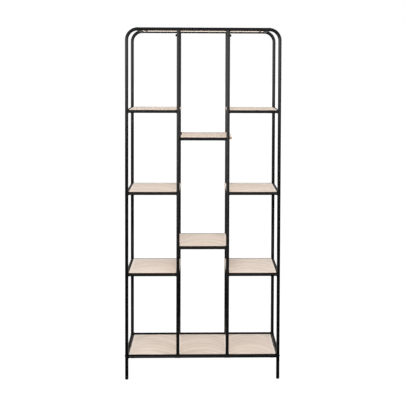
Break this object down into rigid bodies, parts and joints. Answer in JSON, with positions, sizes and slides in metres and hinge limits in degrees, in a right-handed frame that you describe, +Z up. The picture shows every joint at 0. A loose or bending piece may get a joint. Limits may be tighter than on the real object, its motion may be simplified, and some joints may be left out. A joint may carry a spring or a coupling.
{
  "type": "open bookcase",
  "caption": "Tall open bookcase with a round tube frame and loose boards in three columns, the shelves staggered between side and centre columns.",
  "frame": {"origin": "on the floor, midway between the four legs", "axes": "+Z up, +X to the right seen from the front, -Y towards the front"},
  "size_m": [0.793, 0.348, 1.8],
  "materials": {
    "black_steel": "satin black powder coat",
    "light_wood": "matte pale wood with fine grain, browner at the cut edges",
    "black_plastic": "moulded black plastic",
    "bare_steel": "plain turned steel, hidden inside the tubes"
  },
  "bodies": {
    "frame": {"leg_front_left": "black_steel", "foot_cap_front_left": "black_plastic", "corner_sleeve_front_left": "bare_steel", "centre_post_front_left": "black_steel", "post_spigot_front_left": "bare_steel", "post_bolt_front_left": "black_steel", "leg_rear_left": "black_steel", "foot_cap_rear_left": "black_plastic", "corner_sleeve_rear_left": "bare_steel", "centre_post_rear_left": "black_steel", "post_spigot_rear_left": "bare_steel", "post_bolt_rear_left": "black_steel", "top_cross_rail_left": "black_steel", "bottom_side_rail_left": "black_steel", "leg_front_right": "black_steel", "foot_cap_front_right": "black_plastic", "corner_sleeve_front_right": "bare_steel", "centre_post_front_right": "black_steel", "post_spigot_front_right": "bare_steel", "post_bolt_front_right": "black_steel", "leg_rear_right": "black_steel", "foot_cap_rear_right": "black_plastic", "corner_sleeve_rear_right": "bare_steel", "centre_post_rear_right": "black_steel", "post_spigot_rear_right": "bare_steel", "post_bolt_rear_right": "black_steel", "top_cross_rail_right": "black_steel", "bottom_side_rail_right": "black_steel", "top_frame": "black_steel", "bottom_frame": "black_steel", "shelf_side_rail_left_1": "black_steel", "shelf_frame_left_1": "black_steel", "shelf_side_rail_left_2": "black_steel", "shelf_frame_left_2": "black_steel", "shelf_side_rail_left_3": "black_steel", "shelf_frame_left_3": "black_steel", "shelf_side_rail_right_1": "black_steel", "shelf_frame_right_1": "black_steel", "shelf_side_rail_right_2": "black_steel", "shelf_frame_right_2": "black_steel", "shelf_side_rail_right_3": "black_steel", "shelf_frame_right_3": "black_steel", "shelf_frame_centre_1": "black_steel", "shelf_frame_centre_2": "black_steel"},
    "board_left_1_body": {"board_left_1": "light_wood"},
    "board_left_2_body": {"board_left_2": "light_wood"},
    "board_left_3_body": {"board_left_3": "light_wood"},
    "board_right_1_body": {"board_right_1": "light_wood"},
    "board_right_2_body": {"board_right_2": "light_wood"},
    "board_right_3_body": {"board_right_3": "light_wood"},
    "board_centre_1_body": {"board_centre_1": "light_wood"},
    "board_centre_2_body": {"board_centre_2": "light_wood"},
    "board_top_left_body": {"board_top_left": "light_wood"},
    "board_top_centre_body": {"board_top_centre": "light_wood"},
    "board_top_right_body": {"board_top_right": "light_wood"},
    "board_bottom_left_body": {"board_bottom_left": "light_wood"},
    "board_bottom_centre_body": {"board_bottom_centre": "light_wood"},
    "board_bottom_right_body": {"board_bottom_right": "light_wood"}
  },
  "joints": [
    {"name": "board_left_1_lift", "type": "slide", "parent": "frame", "child": "board_left_1_body", "axis": [0, 0, 1], "range_m": [0, 0.1]},
    {"name": "board_left_2_lift", "type": "slide", "parent": "frame", "child": "board_left_2_body", "axis": [0, 0, 1], "range_m": [0, 0.1]},
    {"name": "board_left_3_lift", "type": "slide", "parent": "frame", "child": "board_left_3_body", "axis": [0, 0, 1], "range_m": [0, 0.1]},
    {"name": "board_right_1_lift", "type": "slide", "parent": "frame", "child": "board_right_1_body", "axis": [0, 0, 1], "range_m": [0, 0.1]},
    {"name": "board_right_2_lift", "type": "slide", "parent": "frame", "child": "board_right_2_body", "axis": [0, 0, 1], "range_m": [0, 0.1]},
    {"name": "board_right_3_lift", "type": "slide", "parent": "frame", "child": "board_right_3_body", "axis": [0, 0, 1], "range_m": [0, 0.1]},
    {"name": "board_centre_1_lift", "type": "slide", "parent": "frame", "child": "board_centre_1_body", "axis": [0, 0, 1], "range_m": [0, 0.1]},
    {"name": "board_centre_2_lift", "type": "slide", "parent": "frame", "child": "board_centre_2_body", "axis": [0, 0, 1], "range_m": [0, 0.1]},
    {"name": "board_top_left_lift", "type": "slide", "parent": "frame", "child": "board_top_left_body", "axis": [0, 0, 1], "range_m": [0, 0.1]},
    {"name": "board_top_centre_lift", "type": "slide", "parent": "frame", "child": "board_top_centre_body", "axis": [0, 0, 1], "range_m": [0, 0.1]},
    {"name": "board_top_right_lift", "type": "slide", "parent": "frame", "child": "board_top_right_body", "axis": [0, 0, 1], "range_m": [0, 0.1]},
    {"name": "board_bottom_left_lift", "type": "slide", "parent": "frame", "child": "board_bottom_left_body", "axis": [0, 0, 1], "range_m": [0, 0.1]},
    {"name": "board_bottom_centre_lift", "type": "slide", "parent": "frame", "child": "board_bottom_centre_body", "axis": [0, 0, 1], "range_m": [0, 0.1]},
    {"name": "board_bottom_right_lift", "type": "slide", "parent": "frame", "child": "board_bottom_right_body", "axis": [0, 0, 1], "range_m": [0, 0.1]}
  ]
}
